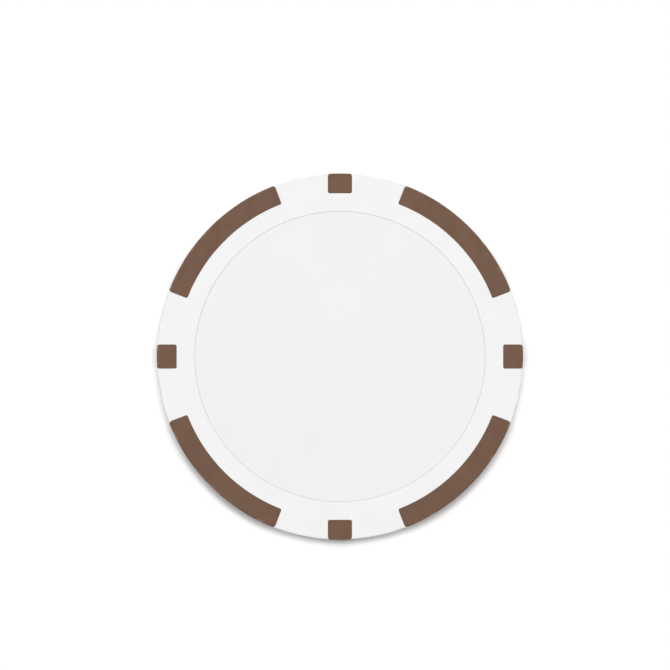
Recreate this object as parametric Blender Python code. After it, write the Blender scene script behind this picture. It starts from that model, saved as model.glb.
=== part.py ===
"""Dealer button: a weighted table puck, 50 mm across and 4 mm thick, alike on both faces.

Two white moulded shells close on a steel slug and on eight brown edge inserts. A tongue and a
groove centre the shells, which clamp the tee-shaped root of each insert. A blank inlay disc is
stuck into the shallow recess of each face.

Frame: metres, +Z up and out of the front face, origin at the centre of the face it rests on.
The north square insert is at +Y and the east one at +X. Nothing in the button moves.
"""

import math

import bmesh
import bpy
from mathutils import Matrix, Vector

MM = 0.001

# Driving dimensions of the whole button
DIAMETER = 50.0 * MM
THICKNESS = 4.0 * MM
RIM_FILLET = 0.2 * MM  # rounds the edge between each face and the rim
FIT_GAP = 0.03 * MM  # between pieces that are clamped, stacked or stuck together

# Edge inserts, which go right through the button, and the roots that hold them
INSERT_DEPTH = 2.72 * MM  # from the rim inwards, as seen on a face
STRIPE_SWEEP = math.radians(48.2)
SQUARE_WIDTH = 3.27 * MM
INSERT_CORNER = 0.25 * MM  # corner radius, as seen on a face
OUTLINE_OVERHANG = 0.08 * MM  # how far past the rim an outline runs, so its outer corners show less
NECK_LENGTH = 1.3 * MM
NECK_THICKNESS = 1.0 * MM
HEAD_LENGTH = 0.8 * MM
HEAD_THICKNESS = 1.8 * MM
ROOT_SHOULDER = 0.45 * MM  # how much narrower than its insert a root is, at each end
ROOT_OVERLAP = 0.5 * MM  # how far a neck runs into its insert

# Inlay discs, and the adhesive discs and recesses under them
INLAY_DIAMETER = 39.56 * MM
INLAY_THICKNESS = 0.3 * MM
INLAY_EDGE = 0.04 * MM
ADHESIVE_DIAMETER = 39.1 * MM
ADHESIVE_THICKNESS = 0.08 * MM
RECESS_DIAMETER = 39.64 * MM
RECESS_DEPTH = 0.47 * MM

# Steel slug, and each shell's pocket for it and boss in its hole
SLUG_DIAMETER = 32.0 * MM
SLUG_THICKNESS = 1.6 * MM
SLUG_HOLE_DIAMETER = 4.4 * MM
SLUG_EDGE = 0.15 * MM
SLUG_POCKET_DIAMETER = 32.2 * MM
BOSS_DIAMETER = 4.0 * MM

# Tongue of the front shell and groove of the back shell
TONGUE_DIAMETER = 34.8 * MM  # at the middle of its width
TONGUE_WIDTH = 0.8 * MM
TONGUE_HEIGHT = 0.5 * MM
GROOVE_CLEARANCE = 0.05 * MM

# How finely round shapes are divided
TURN_STEPS = 80
STRIPE_STEPS = 16
SQUARE_STEPS = 2
FILLET_STEPS = 4
CORNER_STEPS = 4
CUTTER_MARGIN = 1.0 * MM  # how far a through cutter stands out of each face
MERGE_DISTANCE = 1e-4 * MM

RADIUS = DIAMETER / 2
MID_Z = THICKNESS / 2  # the shells part here
INSERT_INNER = RADIUS - INSERT_DEPTH

SQUARE_ANGLES = {"east": 0, "north": 90, "west": 180, "south": 270}
STRIPE_ANGLES = {"north_east": 45, "north_west": 135, "south_west": 225, "south_east": 315}


# Scene


def clear_scene():
    for obj in list(bpy.data.objects):
        bpy.data.objects.remove(obj, do_unlink=True)


def make_material(name, colour, roughness, metallic=0.0):
    material = bpy.data.materials.new(name)
    material.use_nodes = True
    shader = material.node_tree.nodes["Principled BSDF"]
    shader.inputs["Base Color"].default_value = (*colour, 1.0)
    shader.inputs["Roughness"].default_value = roughness
    shader.inputs["Metallic"].default_value = metallic
    return material


def add_object(name, bm, angle=0, material=None):
    """Makes an object of a bmesh, turned about Z by an angle in degrees."""
    bmesh.ops.recalc_face_normals(bm, faces=bm.faces)
    mesh = bpy.data.meshes.new(name)
    bm.to_mesh(mesh)
    bm.free()
    mesh.shade_smooth()
    mesh.set_sharp_from_angle(angle=math.radians(30))
    if material:
        mesh.materials.append(material)
    obj = bpy.data.objects.new(name, mesh)
    obj.rotation_euler.z = math.radians(angle)
    bpy.context.scene.collection.objects.link(obj)
    return obj


def add_helper(name, bm, angle=0):
    """Makes an object that only shapes other objects, and isn't a piece of the button."""
    helper = add_object(name, bm, angle)
    helper.hide_render = True
    helper.display_type = "WIRE"
    return helper


def add_boolean(obj, operation, operand):
    modifier = obj.modifiers.new(operation.title(), "BOOLEAN")
    modifier.operation = operation
    modifier.solver = "EXACT"
    if isinstance(operand, bpy.types.Collection):
        modifier.operand_type = "COLLECTION"
        modifier.collection = operand
    else:
        modifier.object = operand


def add_edge_break(obj, width):
    """Chamfers an object's right-angled edges."""
    modifier = obj.modifiers.new("Edge break", "BEVEL")
    modifier.width = width
    modifier.segments = 1
    modifier.limit_method = "ANGLE"
    modifier.angle_limit = math.radians(60)


# Shapes


def arc(centre, radius, start, end, steps):
    """Points of a circular arc in a plane, from a start angle to an end angle."""
    angles = [start + (end - start) * i / steps for i in range(steps + 1)]
    return [(centre[0] + radius * math.cos(a), centre[1] + radius * math.sin(a)) for a in angles]


def turned(section, closed=False):
    """A full turn about Z of (radius, height) points, which end on the axis unless they're closed."""
    bm = bmesh.new()
    verts = [bm.verts.new((radius, 0, height)) for radius, height in section]
    following = verts[1:] + verts[:1] if closed else verts[1:]
    edges = [bm.edges.new(pair) for pair in zip(verts, following)]
    bmesh.ops.spin(
        bm,
        geom=verts + edges,
        cent=(0, 0, 0),
        axis=(0, 0, 1),
        angle=2 * math.pi,
        steps=TURN_STEPS,
        use_merge=True,
    )
    bmesh.ops.remove_doubles(bm, verts=bm.verts, dist=MERGE_DISTANCE)
    return bm


def swept(section, angle, steps):
    """A part turn about Z of a closed section of (radius, height) points, centred on +X."""
    bm = bmesh.new()
    to_start = Matrix.Rotation(-angle / 2, 3, "Z")
    verts = [bm.verts.new(to_start @ Vector((radius, 0, height))) for radius, height in section]
    face = bm.faces.new(verts)
    bmesh.ops.spin(bm, geom=[face], cent=(0, 0, 0), axis=(0, 0, 1), angle=angle, steps=steps)
    return bm


def prism(outline, bottom, top):
    """An outline of (x, y) points, pulled up from a bottom height to a top height."""
    bm = bmesh.new()
    face = bm.faces.new([bm.verts.new((x, y, bottom)) for x, y in outline])
    pulled = bmesh.ops.extrude_face_region(bm, geom=[face])["geom"]
    raised = [item for item in pulled if isinstance(item, bmesh.types.BMVert)]
    bmesh.ops.translate(bm, verts=raised, vec=(0, 0, top - bottom))
    bmesh.ops.recalc_face_normals(bm, faces=bm.faces)
    return bm


def disc_section(radius, bottom, top):
    return [(0, bottom), (radius, bottom), (radius, top), (0, top)]


def rim_fillet():
    """The rounded edge of the rim, as (radius, height over mid-plane) points, from rim to face."""
    centre = (RADIUS - RIM_FILLET, THICKNESS / 2 - RIM_FILLET)
    return arc(centre, RIM_FILLET, 0, math.pi / 2, FILLET_STEPS)


# Edge inserts, each made pointing along +X. An insert's pocket is its own shape, grown all round.


def insert_outline(is_square, grow):
    inner = INSERT_INNER - grow
    outer = RADIUS + OUTLINE_OVERHANG + grow
    if is_square:
        half_width = SQUARE_WIDTH / 2 + grow
        return [(inner, -half_width), (outer, -half_width), (outer, half_width), (inner, half_width)]
    half_inner = STRIPE_SWEEP / 2 + grow / inner
    half_outer = STRIPE_SWEEP / 2 + grow / outer
    outer_arc = arc((0, 0), outer, -half_outer, half_outer, STRIPE_STEPS)
    inner_arc = arc((0, 0), inner, half_inner, -half_inner, STRIPE_STEPS)
    return outer_arc + inner_arc


def insert_block(is_square, grow=0.0):
    """The outline of an insert, pulled right through the button, with its upright corners rounded."""
    bm = prism(insert_outline(is_square, grow), -CUTTER_MARGIN, THICKNESS + CUTTER_MARGIN)
    upright = [edge for edge in bm.edges if abs(edge.verts[0].co.z - edge.verts[1].co.z) > THICKNESS]
    corners = [edge for edge in upright if edge.calc_face_angle() > math.radians(45)]
    bmesh.ops.bevel(
        bm,
        geom=corners,
        offset=INSERT_CORNER + grow,
        segments=CORNER_STEPS,
        profile=0.5,
        affect="EDGES",
    )
    return bm


def insert_root(is_square, grow=0.0):
    """The root of an insert: a neck that leaves its inner wall, and a thicker head."""
    neck_inner = INSERT_INNER - NECK_LENGTH
    neck = NECK_THICKNESS / 2 + grow
    head = HEAD_THICKNESS / 2 + grow
    upper = [
        (INSERT_INNER + ROOT_OVERLAP, neck),
        (neck_inner + grow, neck),
        (neck_inner + grow, head),
        (neck_inner - HEAD_LENGTH - grow, head),
    ]
    lower = [(radius, -height) for radius, height in reversed(upper)]
    section = [(radius, MID_Z + height) for radius, height in upper + lower]
    insert_sweep = SQUARE_WIDTH / neck_inner if is_square else STRIPE_SWEEP
    sweep = insert_sweep - 2 * (ROOT_SHOULDER - grow) / neck_inner
    return swept(section, sweep, SQUARE_STEPS if is_square else STRIPE_STEPS)


def build_insert(name, is_square, angle, button_blank, pockets, material):
    insert = add_object(name, insert_block(is_square), angle, material)
    add_boolean(insert, "INTERSECT", button_blank)
    add_boolean(insert, "UNION", add_helper(f"{name}_root", insert_root(is_square), angle))
    pockets.objects.link(add_helper(f"{name}_pocket", insert_block(is_square, FIT_GAP), angle))
    pockets.objects.link(add_helper(f"{name}_root_pocket", insert_root(is_square, FIT_GAP), angle))


def build_inserts(pockets):
    """Makes the eight inserts, and adds the pockets that hold them to a collection of cutters."""
    brown = make_material("brown plastic", (0.129, 0.069, 0.042), roughness=0.5)
    upper = [(radius, MID_Z + height) for radius, height in rim_fillet()]
    lower = [(radius, MID_Z - height) for radius, height in reversed(rim_fillet())]
    button_blank = add_helper("button_blank", turned([(0, 0), *lower, *upper, (0, THICKNESS)]))
    for place, angle in STRIPE_ANGLES.items():
        build_insert(f"stripe_insert_{place}", False, angle, button_blank, pockets, brown)
    for place, angle in SQUARE_ANGLES.items():
        build_insert(f"square_insert_{place}", True, angle, button_blank, pockets, brown)


# Shells


def ring_step(width, height):
    """A step in a shell's parting face, around the tongue's diameter, as section points."""
    inner = (TONGUE_DIAMETER - width) / 2
    outer = (TONGUE_DIAMETER + width) / 2
    parting = FIT_GAP / 2
    return [(inner, parting), (inner, height), (outer, height), (outer, parting)]


def shell_section(step):
    """Section of a shell, as (radius, height over mid-plane) points, with a step in its parting face."""
    parting = FIT_GAP / 2
    pocket_top = SLUG_THICKNESS / 2 + FIT_GAP
    pocket_radius = SLUG_POCKET_DIAMETER / 2
    boss_radius = BOSS_DIAMETER / 2
    recess_radius = RECESS_DIAMETER / 2
    recess_floor = THICKNESS / 2 - RECESS_DEPTH
    boss = [(0, parting), (boss_radius, parting), (boss_radius, pocket_top)]
    pocket = [(pocket_radius, pocket_top), (pocket_radius, parting)]
    rim = [(RADIUS, parting), *rim_fillet()]
    recess = [(recess_radius, THICKNESS / 2), (recess_radius, recess_floor), (0, recess_floor)]
    return boss + pocket + step + rim + recess


def build_shells(pockets):
    white = make_material("white plastic", (0.743, 0.743, 0.743), roughness=0.45)
    tongue = ring_step(TONGUE_WIDTH, -TONGUE_HEIGHT)
    groove = ring_step(TONGUE_WIDTH + 2 * GROOVE_CLEARANCE, TONGUE_HEIGHT + GROOVE_CLEARANCE)
    for name, side, step in (("front_shell", 1, tongue), ("back_shell", -1, groove)):
        section = [(radius, MID_Z + side * height) for radius, height in shell_section(step)]
        shell = add_object(name, turned(section), material=white)
        add_boolean(shell, "DIFFERENCE", pockets)


# Slug, adhesive and inlay discs


def build_slug():
    steel = make_material("zinc-plated steel", (0.55, 0.56, 0.57), roughness=0.4, metallic=1.0)
    inner = SLUG_HOLE_DIAMETER / 2
    outer = SLUG_DIAMETER / 2
    bottom = MID_Z - SLUG_THICKNESS / 2
    top = MID_Z + SLUG_THICKNESS / 2
    section = [(inner, bottom), (outer, bottom), (outer, top), (inner, top)]
    slug = add_object("steel_slug", turned(section, closed=True), material=steel)
    add_edge_break(slug, SLUG_EDGE)


def build_face_discs():
    """Makes each face's adhesive and inlay discs, stacked outwards from the floor of its recess."""
    vinyl = make_material("white vinyl", (0.729, 0.729, 0.729), roughness=0.6)
    glue = make_material("clear adhesive", (0.8, 0.78, 0.7), roughness=0.3)
    adhesive_inner = THICKNESS / 2 - RECESS_DEPTH + FIT_GAP
    adhesive_outer = adhesive_inner + ADHESIVE_THICKNESS
    inlay_inner = adhesive_outer + FIT_GAP
    inlay_outer = inlay_inner + INLAY_THICKNESS
    for face, side in (("front", 1), ("back", -1)):
        adhesive_heights = [MID_Z + side * height for height in (adhesive_inner, adhesive_outer)]
        section = disc_section(ADHESIVE_DIAMETER / 2, *adhesive_heights)
        add_object(f"{face}_adhesive", turned(section), material=glue)
        inlay_heights = [MID_Z + side * height for height in (inlay_inner, inlay_outer)]
        section = disc_section(INLAY_DIAMETER / 2, *inlay_heights)
        inlay = add_object(f"{face}_inlay", turned(section), material=vinyl)
        add_edge_break(inlay, INLAY_EDGE)


def build_button():
    clear_scene()
    pockets = bpy.data.collections.new("insert_pockets")
    bpy.context.scene.collection.children.link(pockets)
    build_inserts(pockets)
    build_shells(pockets)
    build_slug()
    build_face_discs()


build_button()
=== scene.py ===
"""Looks of the dealer button: a fine surface and a procedural material for each node of the frame.

Every node is replaced by a finer piece in the same place. The turned pieces have rounded edges,
the inserts sit in their pockets with a hairline seam, and the shells meet in a small groove round
the rim. Sizes are in metres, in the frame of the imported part.
"""

import math

import bmesh
import bpy
from mathutils import Matrix, Vector


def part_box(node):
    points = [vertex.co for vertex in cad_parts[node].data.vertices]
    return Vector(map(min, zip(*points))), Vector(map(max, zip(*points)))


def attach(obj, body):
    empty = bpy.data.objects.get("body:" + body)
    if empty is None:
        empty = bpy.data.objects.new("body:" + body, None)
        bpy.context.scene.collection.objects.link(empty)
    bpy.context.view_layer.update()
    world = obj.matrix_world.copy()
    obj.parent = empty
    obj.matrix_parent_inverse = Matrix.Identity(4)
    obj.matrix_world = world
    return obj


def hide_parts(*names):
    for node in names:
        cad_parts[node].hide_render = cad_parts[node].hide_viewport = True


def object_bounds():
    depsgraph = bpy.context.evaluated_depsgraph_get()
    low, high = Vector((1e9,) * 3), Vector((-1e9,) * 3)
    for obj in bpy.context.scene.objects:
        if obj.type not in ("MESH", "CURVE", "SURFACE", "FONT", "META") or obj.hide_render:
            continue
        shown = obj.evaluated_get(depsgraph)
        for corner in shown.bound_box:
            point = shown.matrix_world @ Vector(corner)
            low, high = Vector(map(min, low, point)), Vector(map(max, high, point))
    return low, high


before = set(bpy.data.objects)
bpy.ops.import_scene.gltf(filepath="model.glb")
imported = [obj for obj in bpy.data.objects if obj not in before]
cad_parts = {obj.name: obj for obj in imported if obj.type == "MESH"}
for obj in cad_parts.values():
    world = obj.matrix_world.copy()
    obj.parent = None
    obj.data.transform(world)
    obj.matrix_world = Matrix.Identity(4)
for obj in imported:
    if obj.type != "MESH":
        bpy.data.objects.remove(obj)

MM = 0.001

# The whole button, from the frame
CAD_LOW, CAD_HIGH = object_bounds()
RADIUS = CAD_HIGH.x
HALF_THICKNESS = (CAD_HIGH.z - CAD_LOW.z) / 2
MID_Z = (CAD_HIGH.z + CAD_LOW.z) / 2

# Design sizes that the frame's boxes don't tell
RIM_FILLET = 0.2 * MM
INSERT_DEPTH = 2.72 * MM  # from the rim inwards, as seen on a face
STRIPE_SWEEP = math.radians(48.2)
SQUARE_WIDTH = 3.27 * MM
INNER_CORNER = 0.25 * MM  # corner radius of an insert's outline, as seen on a face
OUTER_CORNER = 0.5 * MM  # the same at the rim, which cuts that corner short
OUTLINE_OVERHANG = 0.05 * MM  # how far past the rim an outline would run if the rim didn't cut it off
NECK_LENGTH = 1.3 * MM
NECK_THICKNESS = 1.0 * MM
HEAD_LENGTH = 0.8 * MM
HEAD_THICKNESS = 1.8 * MM
ROOT_SHOULDER = 0.45 * MM  # how much narrower than its insert a root is, at each end
ROOT_OVERLAP = 0.5 * MM  # how far a neck runs into its insert
RECESS_DIAMETER = 39.62 * MM
RECESS_DEPTH = 0.47 * MM
INLAY_DIAMETER = 39.604 * MM
SLUG_POCKET_DIAMETER = 32.2 * MM
SLUG_HOLE_DIAMETER = 4.4 * MM
BOSS_DIAMETER = 4.0 * MM
TONGUE_DIAMETER = 34.8 * MM  # at the middle of its width
TONGUE_WIDTH = 0.8 * MM
TONGUE_HEIGHT = 0.5 * MM
GROOVE_CLEARANCE = 0.05 * MM

# Seams and broken edges, finer than the frame's solids show
SEAM_GAP = 0.01 * MM  # between an insert and the shells, and between the two shells
INNER_GAP = 0.03 * MM  # over the slug, which lies loose between the shells
SEAM_EDGE = 0.02 * MM  # rounds the edges of the inserts and their pockets on each face
EDGE_RISE = 0.003 * MM  # lifts those rounded edges through the face, which cuts them off at a slant
PARTING_EDGE = 0.06 * MM  # rounds each shell's outer edge where the two meet
MOULDED_EDGE = 0.1 * MM
LIP_EDGE = 0.05 * MM  # rounds the edge of the recess, and of the inlay in it
ADHESIVE_EDGE = 0.02 * MM
SLUG_EDGE = 0.15 * MM

# How finely the pieces are divided
TURN_STEPS = 400
SQUARE_STEPS = 6
CORNER_STEPS = 8
SEAM_STEPS = 4
EDGE_STEPS = 4  # along the smallest rounded edge
EDGE_LENGTH = 0.05 * MM  # of one step along a larger one
CUTTER_MARGIN = 1.0 * MM
MERGE_DISTANCE = 5e-4 * MM
SHARP_ANGLE = math.radians(32)  # between faces that aren't shaded as one

# Noise lies mostly between these values
NOISE_LOW = 0.3
NOISE_HIGH = 0.7

# What rubbing and scratches add to the roughness
WEAR_POLISH = -0.18
SCRATCH_POLISH = -0.14

INSERT_INNER = RADIUS - INSERT_DEPTH
SQUARE_ANGLES = {"east": 0, "north": 90, "west": 180, "south": 270}
STRIPE_ANGLES = {"north_east": 45, "north_west": 135, "south_west": 225, "south_east": 315}

# Camera, light and floor
LENS = 100.0
SENSOR = 36.0
VIEW_WIDTH = 91.38 * MM  # across the view, at the height of the front face
VIEW_CENTRE = (-0.67 * MM, 2.94 * MM)
# The key lights lean towards +Y, so the shadow falls towards -Y. Each is an energy, and how far it
# leans towards +X and towards +Y.
KEYS = {
    "left_key": (1.13, math.radians(-13), math.radians(10)),
    "right_key": (1.13, math.radians(13), math.radians(10)),
    "high_key": (1.18, 0.0, math.radians(19)),
}
KEY_ANGLE = math.radians(14)
SKY_STRENGTH = 0.1
HORIZON_STRENGTH = 1.0
HORIZON_BAND = (0.14, 0.2)  # how steeply upwards, as a sine, the room starts and stops growing darker
FLOOR_SIZE = 8.0
FLOOR_DROP = 0.01 * MM  # below the back face, so the two don't coincide
FLOOR_COLOUR = (0.87, 0.87, 0.87, 1.0)


# Shapes


def stripe_steps(sweep):
    """Steps for an arc along a stripe: about as long as the turned pieces' own, and an even number.

    The turned pieces start half a step round, so the lines of the two never nearly meet.
    """
    return 2 * round(sweep / (4 * math.pi) * TURN_STEPS)


def arc(centre, radius, start, end, steps):
    """Points of a circular arc in a plane, from a start angle to an end angle."""
    angles = [start + (end - start) * i / steps for i in range(steps + 1)]
    return [(centre[0] + radius * math.cos(a), centre[1] + radius * math.sin(a)) for a in angles]


def polar(radius, angle):
    return radius * math.cos(angle), radius * math.sin(angle)


def fillet_arc(corner, before, after, radius):
    """Points of the arc that rounds a corner, between the directions to its two neighbours."""
    half = before.angle(after) / 2
    centre = corner + (before + after).normalized() * radius / math.sin(half)
    start = corner + before * radius / math.tan(half) - centre
    end = corner + after * radius / math.tan(half) - centre
    first = math.atan2(start.y, start.x)
    sweep = math.remainder(math.atan2(end.y, end.x) - first, 2 * math.pi)
    steps = max(EDGE_STEPS, round(abs(sweep) * radius / EDGE_LENGTH))
    return arc(centre, radius, first, first + sweep, steps)


def rounded(corners, closed=False):
    """Points of a section whose corners, each a (radius, height, fillet radius), are rounded."""
    points = []
    last = len(corners) - 1
    for index, (radius, height, fillet) in enumerate(corners):
        if fillet == 0 or (not closed and index in (0, last)):
            points.append((radius, height))
            continue
        corner = Vector((radius, height))
        before = Vector(corners[index - 1][:2]) - corner
        after = Vector(corners[(index + 1) % len(corners)][:2]) - corner
        points += fillet_arc(corner, before.normalized(), after.normalized(), fillet)
    return points


def turned(section, closed=False):
    """A full turn about Z of (radius, height) points, which end on the axis unless they're closed."""
    bm = bmesh.new()
    to_start = Matrix.Rotation(math.pi / TURN_STEPS, 3, "Z")
    verts = [bm.verts.new(to_start @ Vector((radius, 0, height))) for radius, height in section]
    following = verts[1:] + verts[:1] if closed else verts[1:]
    edges = [bm.edges.new(pair) for pair in zip(verts, following)]
    bmesh.ops.spin(
        bm,
        geom=verts + edges,
        cent=(0, 0, 0),
        axis=(0, 0, 1),
        angle=2 * math.pi,
        steps=TURN_STEPS,
        use_merge=True,
    )
    bmesh.ops.remove_doubles(bm, verts=bm.verts, dist=MERGE_DISTANCE)
    return bm


def swept(section, angle, steps):
    """A part turn about Z of a closed section of (radius, height) points, centred on +X."""
    bm = bmesh.new()
    to_start = Matrix.Rotation(-angle / 2, 3, "Z")
    verts = [bm.verts.new(to_start @ Vector((radius, 0, height))) for radius, height in section]
    face = bm.faces.new(verts)
    bmesh.ops.spin(bm, geom=[face], cent=(0, 0, 0), axis=(0, 0, 1), angle=angle, steps=steps)
    return bm


def stacked(outlines):
    """A solid through closed outlines of equally many points, each an (outline, height), upwards."""
    bm = bmesh.new()
    loops = [[bm.verts.new((x, y, height)) for x, y in outline] for outline, height in outlines]
    for lower, upper in zip(loops, loops[1:]):
        for i in range(len(lower)):
            bm.faces.new((lower[i - 1], lower[i], upper[i], upper[i - 1]))
    bm.faces.new(loops[0])
    bm.faces.new(loops[-1])
    return bm


def add_object(name, bm, angle=0):
    """Makes an object of a bmesh, turned about Z by an angle in degrees."""
    bmesh.ops.rotate(bm, verts=bm.verts, cent=(0, 0, 0), matrix=Matrix.Rotation(math.radians(angle), 3, "Z"))
    bmesh.ops.recalc_face_normals(bm, faces=bm.faces)
    mesh = bpy.data.meshes.new(name)
    bm.to_mesh(mesh)
    bm.free()
    obj = bpy.data.objects.new(name, mesh)
    bpy.context.scene.collection.objects.link(obj)
    return obj


def combine(obj, operation, operands):
    """Applies a Boolean with some other objects to an object, and merges near-double points."""
    for operand in operands:
        modifier = obj.modifiers.new(operation, "BOOLEAN")
        modifier.operation = operation
        modifier.solver = "EXACT"
        modifier.object = operand
    evaluated = obj.evaluated_get(bpy.context.evaluated_depsgraph_get())
    mesh = bpy.data.meshes.new_from_object(evaluated)
    obj.modifiers.clear()
    obj.data = mesh
    bm = bmesh.new()
    bm.from_mesh(mesh)
    bmesh.ops.remove_doubles(bm, verts=bm.verts, dist=MERGE_DISTANCE)
    bmesh.ops.dissolve_degenerate(bm, edges=bm.edges, dist=MERGE_DISTANCE)
    bmesh.ops.triangulate(bm, faces=[face for face in bm.faces if len(face.verts) > 4])
    bm.to_mesh(mesh)
    bm.free()


def remove(objects):
    for obj in objects:
        bpy.data.objects.remove(obj, do_unlink=True)


def finish_piece(obj, node, material):
    """Shades a piece, and lets it stand for its node of the frame."""
    mesh = obj.data
    mesh.materials.clear()
    mesh.materials.append(material)
    mesh.shade_smooth()
    mesh.set_sharp_from_angle(angle=SHARP_ANGLE)
    modifier = obj.modifiers.new("Weighted normals", "WEIGHTED_NORMAL")
    modifier.keep_sharp = True
    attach(obj, "root")
    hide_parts(node)


# Inserts, each made pointing along +X. An insert's pocket is its own shape, grown all round.


def stripe_corners(grow):
    """The two rounded corners at one end of a stripe insert's outline, from inside to outside."""
    half = STRIPE_SWEEP / 2
    inner = INSERT_INNER + INNER_CORNER
    outer = RADIUS + OUTLINE_OVERHANG - OUTER_CORNER
    inner_angle = half - math.asin(INNER_CORNER / inner)
    outer_angle = half - math.asin(OUTER_CORNER / outer)
    square_on = half + math.pi / 2
    inner_centre = polar(inner, inner_angle)
    outer_centre = polar(outer, outer_angle)
    inner_corner = arc(inner_centre, INNER_CORNER + grow, inner_angle + math.pi, square_on, CORNER_STEPS)
    outer_corner = arc(outer_centre, OUTER_CORNER + grow, square_on, outer_angle, CORNER_STEPS)
    return inner_corner + outer_corner


def square_corners(grow):
    """The two rounded corners at one side of a square insert's outline, from inside to outside."""
    side = SQUARE_WIDTH / 2
    inner_centre = (INSERT_INNER + INNER_CORNER, side - INNER_CORNER)
    outer_centre = (RADIUS + OUTLINE_OVERHANG - OUTER_CORNER, side - OUTER_CORNER)
    inner_corner = arc(inner_centre, INNER_CORNER + grow, math.pi, math.pi / 2, CORNER_STEPS)
    outer_corner = arc(outer_centre, OUTER_CORNER + grow, math.pi / 2, 0, CORNER_STEPS)
    return inner_corner + outer_corner


def insert_outline(is_square, grow):
    """The outline of an insert as seen on a face, grown all round."""
    upper = square_corners(grow) if is_square else stripe_corners(grow)
    lower = [(x, -y) for x, y in reversed(upper)]
    if is_square:
        return upper + lower
    return upper + between(upper[-1], lower[0]) + lower + between(lower[-1], upper[0])


def between(start, end):
    """Points along the arc about the axis that joins two points of a stripe's outline."""
    first = math.atan2(start[1], start[0])
    last = math.atan2(end[1], end[0])
    return arc((0, 0), math.hypot(*start), first, last, stripe_steps(abs(last - first)))[1:-1]


def insert_column(is_square, grow, edge):
    """An insert's outline pulled through the button. It widens by an edge width at each face."""
    size = abs(edge)
    upper = []
    for turn, rise in arc((0, HALF_THICKNESS + EDGE_RISE - size), size, 0, math.pi / 2, SEAM_STEPS):
        upper.append((grow + math.copysign(size - turn, edge), rise))
    upper.append((grow + edge, HALF_THICKNESS + CUTTER_MARGIN))
    lower = [(widening, -height) for widening, height in reversed(upper)]
    return stacked([(insert_outline(is_square, w), MID_Z + h) for w, h in lower + upper])


def insert_root(is_square, grow=0.0):
    """The root of an insert: a neck that leaves its inner wall, and a thicker head."""
    neck_inner = INSERT_INNER - NECK_LENGTH
    neck = NECK_THICKNESS / 2 + grow
    head = HEAD_THICKNESS / 2 + grow
    upper = [
        (INSERT_INNER + ROOT_OVERLAP, neck),
        (neck_inner + grow, neck),
        (neck_inner + grow, head),
        (neck_inner - HEAD_LENGTH - grow, head),
    ]
    lower = [(radius, -height) for radius, height in reversed(upper)]
    section = [(radius, MID_Z + height) for radius, height in upper + lower]
    insert_sweep = SQUARE_WIDTH / neck_inner if is_square else STRIPE_SWEEP
    sweep = insert_sweep - 2 * (ROOT_SHOULDER - grow) / neck_inner
    return swept(section, sweep, SQUARE_STEPS if is_square else stripe_steps(sweep))


def button_blank():
    """A solid with the outside of the whole button, which gives the inserts their rim."""
    corners = [(0, -1, 0), (RADIUS, -1, RIM_FILLET), (RADIUS, 1, RIM_FILLET), (0, 1, 0)]
    section = [(radius, MID_Z + side * HALF_THICKNESS, fillet) for radius, side, fillet in corners]
    return add_object("blank", turned(rounded(section)))


def build_insert(node, is_square, angle, blank, material):
    """Makes an insert, and returns the cutters of its pocket."""
    insert = add_object(f"{node}_fine", insert_column(is_square, 0, -SEAM_EDGE), angle)
    root = add_object("root", insert_root(is_square), angle)
    combine(insert, "INTERSECT", [blank])
    combine(insert, "UNION", [root])
    remove([root])
    finish_piece(insert, node, material)
    pocket = add_object("pocket", insert_column(is_square, SEAM_GAP, SEAM_EDGE), angle)
    root_pocket = add_object("root_pocket", insert_root(is_square, SEAM_GAP), angle)
    return [pocket, root_pocket]


def build_inserts(material):
    """Makes the eight inserts, and returns the cutters of their pockets."""
    blank = button_blank()
    cutters = []
    for place, angle in STRIPE_ANGLES.items():
        cutters += build_insert(f"stripe_insert_{place}", False, angle, blank, material)
    for place, angle in SQUARE_ANGLES.items():
        cutters += build_insert(f"square_insert_{place}", True, angle, blank, material)
    remove([blank])
    return cutters


# Shells


def ring_step(width, height):
    """A step in a shell's parting face, around the tongue's diameter, as section corners."""
    inner = (TONGUE_DIAMETER - width) / 2
    outer = (TONGUE_DIAMETER + width) / 2
    parting = SEAM_GAP / 2
    return [
        (inner, parting, 0),
        (inner, height, MOULDED_EDGE),
        (outer, height, MOULDED_EDGE),
        (outer, parting, 0),
    ]


def shell_corners(step):
    """Section of a shell, over the mid-plane, with a step in its parting face."""
    parting = SEAM_GAP / 2
    slug_low, slug_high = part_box("steel_slug")
    pocket_top = (slug_high.z - slug_low.z) / 2 + INNER_GAP
    pocket = SLUG_POCKET_DIAMETER / 2
    boss = BOSS_DIAMETER / 2
    recess = RECESS_DIAMETER / 2
    recess_floor = HALF_THICKNESS - RECESS_DEPTH
    inside = [
        (0, parting, 0),
        (boss, parting, MOULDED_EDGE),
        (boss, pocket_top, MOULDED_EDGE),
        (pocket, pocket_top, MOULDED_EDGE),
        (pocket, parting, MOULDED_EDGE),
    ]
    outside = [
        (RADIUS, parting, PARTING_EDGE),
        (RADIUS, HALF_THICKNESS, RIM_FILLET),
        (recess, HALF_THICKNESS, LIP_EDGE),
        (recess, recess_floor, MOULDED_EDGE),
        (0, recess_floor, 0),
    ]
    return inside + step + outside


def build_shells(cutters, material):
    tongue = ring_step(TONGUE_WIDTH, -TONGUE_HEIGHT)
    groove = ring_step(TONGUE_WIDTH + 2 * GROOVE_CLEARANCE, TONGUE_HEIGHT + GROOVE_CLEARANCE)
    for node, side, step in (("front_shell", 1, tongue), ("back_shell", -1, groove)):
        section = [(radius, MID_Z + side * height) for radius, height in rounded(shell_corners(step))]
        shell = add_object(f"{node}_fine", turned(section))
        combine(shell, "DIFFERENCE", cutters)
        finish_piece(shell, node, material)


# Slug, adhesive and inlay discs


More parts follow.
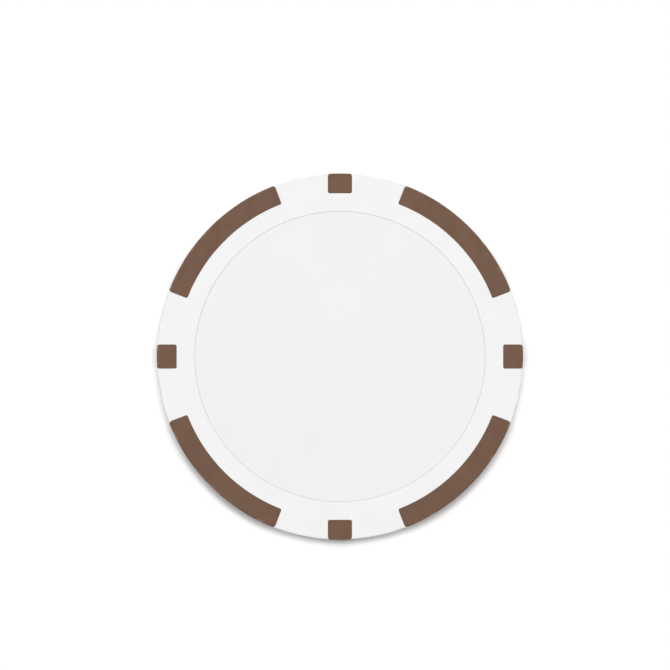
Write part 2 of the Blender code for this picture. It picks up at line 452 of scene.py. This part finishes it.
def build_slug(material):
    low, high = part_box("steel_slug")
    hole = SLUG_HOLE_DIAMETER / 2
    corners = [(hole, low.z), (high.x, low.z), (high.x, high.z), (hole, high.z)]
    section = rounded([(*corner, SLUG_EDGE) for corner in corners], closed=True)
    slug = add_object("steel_slug_fine", turned(section, closed=True))
    finish_piece(slug, "steel_slug", material)


def build_disc(node, radius, edge, material):
    """A thin disc with rounded edges, between the heights of its node."""
    low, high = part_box(node)
    corners = [(0, low.z, 0), (radius, low.z, edge), (radius, high.z, edge), (0, high.z, 0)]
    disc = add_object(f"{node}_fine", turned(rounded(corners)))
    finish_piece(disc, node, material)


# Materials


def add_node(material, kind, inputs=None, **settings):
    """Adds a node to a material or a world. Each input is a value, or an output that is linked to it."""
    node = material.node_tree.nodes.new(kind)
    for name, value in settings.items():
        setattr(node, name, value)
    for name, value in (inputs or {}).items():
        if isinstance(value, bpy.types.NodeSocket):
            material.node_tree.links.new(value, node.inputs[name])
        else:
            node.inputs[name].default_value = value
    return node


def compute(material, operation, *values):
    inputs = dict(enumerate(values))
    return add_node(material, "ShaderNodeMath", inputs, operation=operation).outputs["Value"]


def remap(material, value, low, high, to_low=0.0, to_high=1.0):
    """Maps a value smoothly from one range to another, and holds it there."""
    inputs = {"Value": value, "From Min": low, "From Max": high, "To Min": to_low, "To Max": to_high}
    node = add_node(material, "ShaderNodeMapRange", inputs, interpolation_type="SMOOTHSTEP")
    return node.outputs["Result"]


def mix_colours(material, factor, first, second):
    node = add_node(material, "ShaderNodeMix", data_type="RGBA")
    links = {"Factor_Float": factor, "A_Color": first, "B_Color": second}
    sockets = {socket.identifier: socket for socket in node.inputs}
    for name, value in links.items():
        if isinstance(value, bpy.types.NodeSocket):
            material.node_tree.links.new(value, sockets[name])
        else:
            sockets[name].default_value = (*value, 1.0)
    return next(socket for socket in node.outputs if socket.identifier == "Result_Color")


def object_point(material):
    return add_node(material, "ShaderNodeTexCoord").outputs["Object"]


def noise(material, point, size, detail):
    """Noise whose features are about as large as a size."""
    inputs = {"Vector": point, "Scale": 1 / size, "Detail": detail}
    return add_node(material, "ShaderNodeTexNoise", inputs).outputs["Fac"]


def spread(material, value, to_low=0.0, to_high=1.0):
    """Spreads the usual range of noise over another range."""
    return remap(material, value, NOISE_LOW, NOISE_HIGH, to_low, to_high)


def stretched(material, point, angle, stretch):
    """Coordinates that draw a pattern out along a direction in the plane of the faces."""
    inputs = {"Vector": point, "Rotation": (0, 0, angle), "Scale": (1 / stretch, 1, 1)}
    return add_node(material, "ShaderNodeMapping", inputs).outputs["Vector"]


def bump(material, height, depth, under=None):
    """Bump of a height pattern from 0 to 1 that is so deep, over another bump."""
    inputs = {"Height": height, "Distance": depth, "Strength": 1.0}
    if under:
        inputs["Normal"] = under
    return add_node(material, "ShaderNodeBump", inputs).outputs["Normal"]


def axis_distance(material, point):
    flat = add_node(material, "ShaderNodeVectorMath", {0: point, 1: (1, 1, 0)}, operation="MULTIPLY")
    length = add_node(material, "ShaderNodeVectorMath", {0: flat.outputs["Vector"]}, operation="LENGTH")
    return length.outputs["Value"]


def mid_distance(material, point):
    height = add_node(material, "ShaderNodeSeparateXYZ", {"Vector": point}).outputs["Z"]
    return compute(material, "ABSOLUTE", compute(material, "SUBTRACT", height, MID_Z))


def rim_wear(material, point):
    """Where the rounded edges of the rim are rubbed: patches and specks that thin out inwards."""
    near_rim = remap(material, axis_distance(material, point), RADIUS - 2 * RIM_FILLET, RADIUS)
    to_face = remap(material, mid_distance(material, point), HALF_THICKNESS - 2 * RIM_FILLET, HALF_THICKNESS)
    edge = compute(material, "MULTIPLY", near_rim, to_face)
    patches = remap(material, noise(material, point, 1.6 * MM, detail=6), 0.48, 0.66)
    return compute(material, "MULTIPLY", edge, patches)


def new_material(name):
    material = bpy.data.materials.new(name)
    material.use_nodes = True
    return material, material.node_tree.nodes["Principled BSDF"]


def connect(material, shader, colour, roughness, normal):
    links = material.node_tree.links
    links.new(colour, shader.inputs["Base Color"])
    links.new(roughness, shader.inputs["Roughness"])
    links.new(normal, shader.inputs["Normal"])


def moulded_plastic(name, deep, pale, speck, worn, roughness, gloss):
    """Moulded plastic: faint flow clouds, a spark-eroded grain, specks, and a rubbed rim."""
    material, shader = new_material(name)
    point = object_point(material)
    grain = noise(material, point, 0.11 * MM, detail=3)
    clouds = noise(material, point, 3.5 * MM, detail=4)
    smudges = noise(material, point, 1.2 * MM, detail=5)
    specks = remap(material, noise(material, point, 0.16 * MM, detail=0), 0.74, 0.8)
    wear = rim_wear(material, point)
    colour = mix_colours(material, spread(material, clouds), deep, pale)
    colour = mix_colours(material, specks, colour, speck)
    colour = mix_colours(material, wear, colour, worn)
    matt = spread(material, smudges, roughness - 0.05, roughness + 0.05)
    rubbed = compute(material, "MULTIPLY_ADD", wear, WEAR_POLISH, matt)
    surface = bump(material, grain, 0.004 * MM)
    surface = bump(material, smudges, 0.002 * MM, under=surface)
    connect(material, shader, colour, rubbed, surface)
    shader.inputs["Specular IOR Level"].default_value = gloss
    return material


def white_plastic():
    deep = (0.742, 0.742, 0.742)
    pale = (0.754, 0.754, 0.754)
    speck = (0.69, 0.685, 0.675)
    worn = (0.66, 0.655, 0.64)
    return moulded_plastic("white_moulded_plastic", deep, pale, speck, worn, roughness=0.58, gloss=0.35)


def brown_plastic():
    deep = (0.13, 0.067, 0.039)
    pale = (0.137, 0.0705, 0.041)
    speck = (0.109, 0.058, 0.0345)
    worn = (0.23, 0.15, 0.11)
    return moulded_plastic("brown_moulded_plastic", deep, pale, speck, worn, roughness=0.64, gloss=0.25)


def hairlines(material, point, angle, size):
    """Sparse fine scratches along a direction."""
    drawn = stretched(material, point, angle, stretch=60)
    lines = remap(material, noise(material, drawn, size, detail=1), 0.66, 0.72)
    breaks = remap(material, noise(material, point, 5 * MM, detail=2), 0.46, 0.6)
    return compute(material, "MULTIPLY", lines, breaks)


def white_vinyl():
    """Printable film: an even matt face with a faint orange peel, hairlines, and an edge greyed with painted
    shade where it dips into the groove by the recess wall.
    """
    deep = (0.72, 0.72, 0.72)
    pale = (0.729, 0.729, 0.729)
    # Colour of the painted shade in the groove at the inlay's edge
    groove_shade = (0.67, 0.67, 0.665)
    material, shader = new_material("white_vinyl_film")
    point = object_point(material)
    grain = noise(material, point, 0.07 * MM, detail=2)
    peel = noise(material, point, 0.5 * MM, detail=2)
    clouds = noise(material, point, 6 * MM, detail=3)
    coarse = hairlines(material, point, math.radians(25), 0.07 * MM)
    fine = hairlines(material, point, math.radians(-50), 0.06 * MM)
    scratches = compute(material, "MAXIMUM", coarse, fine)
    # Painted shade: the inlay's rounded edge is greyed as if shaded in the groove round it
    edge_start = INLAY_DIAMETER / 2 - LIP_EDGE
    groove_shade_mask = remap(material, axis_distance(material, point), edge_start, INLAY_DIAMETER / 2)
    colour = mix_colours(material, spread(material, clouds), deep, pale)
    colour = mix_colours(material, groove_shade_mask, colour, groove_shade)
    matt = spread(material, peel, 0.56, 0.64)
    matt = compute(material, "MULTIPLY_ADD", scratches, SCRATCH_POLISH, matt)
    surface = bump(material, grain, 0.002 * MM)
    surface = bump(material, peel, 0.002 * MM, under=surface)
    connect(material, shader, colour, matt, surface)
    return material


def clear_adhesive():
    """Milky pressure-sensitive adhesive, with small trapped bubbles."""
    deep = (0.76, 0.74, 0.66)
    pale = (0.84, 0.83, 0.77)
    bubble = (0.9, 0.89, 0.86)
    material, shader = new_material("milky_adhesive")
    point = object_point(material)
    clouds = noise(material, point, 2 * MM, detail=4)
    inputs = {"Vector": point, "Scale": 1 / (1.1 * MM)}
    cells = add_node(material, "ShaderNodeTexVoronoi", inputs).outputs["Distance"]
    bubbles = remap(material, cells, 0.1, 0.16, 1.0, 0.0)
    colour = mix_colours(material, spread(material, clouds), deep, pale)
    colour = mix_colours(material, bubbles, colour, bubble)
    tacky = spread(material, clouds, 0.22, 0.38)
    surface = bump(material, clouds, 0.01 * MM)
    surface = bump(material, bubbles, 0.01 * MM, under=surface)
    connect(material, shader, colour, tacky, surface)
    shader.inputs["Subsurface Weight"].default_value = 0.3
    shader.inputs["Subsurface Radius"].default_value = (1.0, 0.9, 0.7)
    shader.inputs["Subsurface Scale"].default_value = 0.3 * MM
    return material


def zinc_steel():
    """Zinc-plated blank: rolling grain, spangled tint, and dull spots in the plating."""
    bluish = (0.5, 0.52, 0.55)
    yellowish = (0.6, 0.59, 0.56)
    spot = (0.33, 0.33, 0.33)
    material, shader = new_material("zinc_plated_steel")
    point = object_point(material)
    rolled = noise(material, stretched(material, point, 0, stretch=40), 0.09 * MM, detail=3)
    clouds = noise(material, point, 2.5 * MM, detail=5)
    pits = remap(material, noise(material, point, 0.5 * MM, detail=3), 0.68, 0.74)
    colour = mix_colours(material, remap(material, clouds, 0.35, 0.65), bluish, yellowish)
    colour = mix_colours(material, pits, colour, spot)
    dull = spread(material, rolled, 0.28, 0.44)
    dull = compute(material, "MULTIPLY_ADD", pits, 0.25, dull)
    surface = bump(material, rolled, 0.004 * MM)
    surface = bump(material, pits, 0.006 * MM, under=surface)
    connect(material, shader, colour, dull, surface)
    shader.inputs["Metallic"].default_value = 1.0
    return material


# Stage


def build_floor():
    bm = bmesh.new()
    bmesh.ops.create_grid(bm, x_segments=1, y_segments=1, size=FLOOR_SIZE / 2)
    floor = add_object("floor", bm)
    floor.location.z = CAD_LOW.z - FLOOR_DROP
    material, shader = new_material("pale_floor")
    shader.inputs["Base Color"].default_value = FLOOR_COLOUR
    shader.inputs["Roughness"].default_value = 1.0
    shader.inputs["Specular IOR Level"].default_value = 0.0
    floor.data.materials.append(material)


def build_light():
    """Soft key lights from above, and a pale room that is brightest at the horizon."""
    for name, (energy, lean_x, lean_y) in KEYS.items():
        key = bpy.data.objects.new(name, bpy.data.lights.new(name, "SUN"))
        key.data.energy = energy
        key.data.angle = KEY_ANGLE
        to_key = Vector((math.tan(lean_x), math.tan(lean_y), 1))
        key.rotation_euler = to_key.to_track_quat("Z", "Y").to_euler()
        bpy.context.scene.collection.objects.link(key)
    world = bpy.data.worlds.new("room")
    world.use_nodes = True
    bpy.context.scene.world = world
    direction = add_node(world, "ShaderNodeTexCoord").outputs["Generated"]
    upwards = add_node(world, "ShaderNodeSeparateXYZ", {"Vector": direction}).outputs["Z"]
    strength = remap(world, upwards, *HORIZON_BAND, HORIZON_STRENGTH, SKY_STRENGTH)
    world.node_tree.links.new(strength, world.node_tree.nodes["Background"].inputs["Strength"])
    world.node_tree.nodes["Background"].inputs["Color"].default_value = (1.0, 1.0, 1.0, 1.0)


def build_camera():
    """A camera that looks straight down on the front face."""
    data = bpy.data.cameras.new("camera")
    data.lens = LENS
    data.sensor_width = SENSOR
    camera = bpy.data.objects.new("camera", data)
    camera.location = (*VIEW_CENTRE, CAD_HIGH.z + VIEW_WIDTH * LENS / SENSOR)
    bpy.context.scene.collection.objects.link(camera)
    bpy.context.scene.camera = camera


def build_button():
    cutters = build_inserts(brown_plastic())
    build_shells(cutters, white_plastic())
    remove(cutters)
    build_slug(zinc_steel())
    adhesive = clear_adhesive()
    vinyl = white_vinyl()
    adhesive_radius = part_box("front_adhesive")[1].x
    for face in ("front", "back"):
        build_disc(f"{face}_adhesive", adhesive_radius, ADHESIVE_EDGE, adhesive)
        build_disc(f"{face}_inlay", INLAY_DIAMETER / 2, LIP_EDGE, vinyl)


build_button()
build_floor()
build_light()
build_camera()
bpy.context.scene.view_settings.view_transform = "Standard"
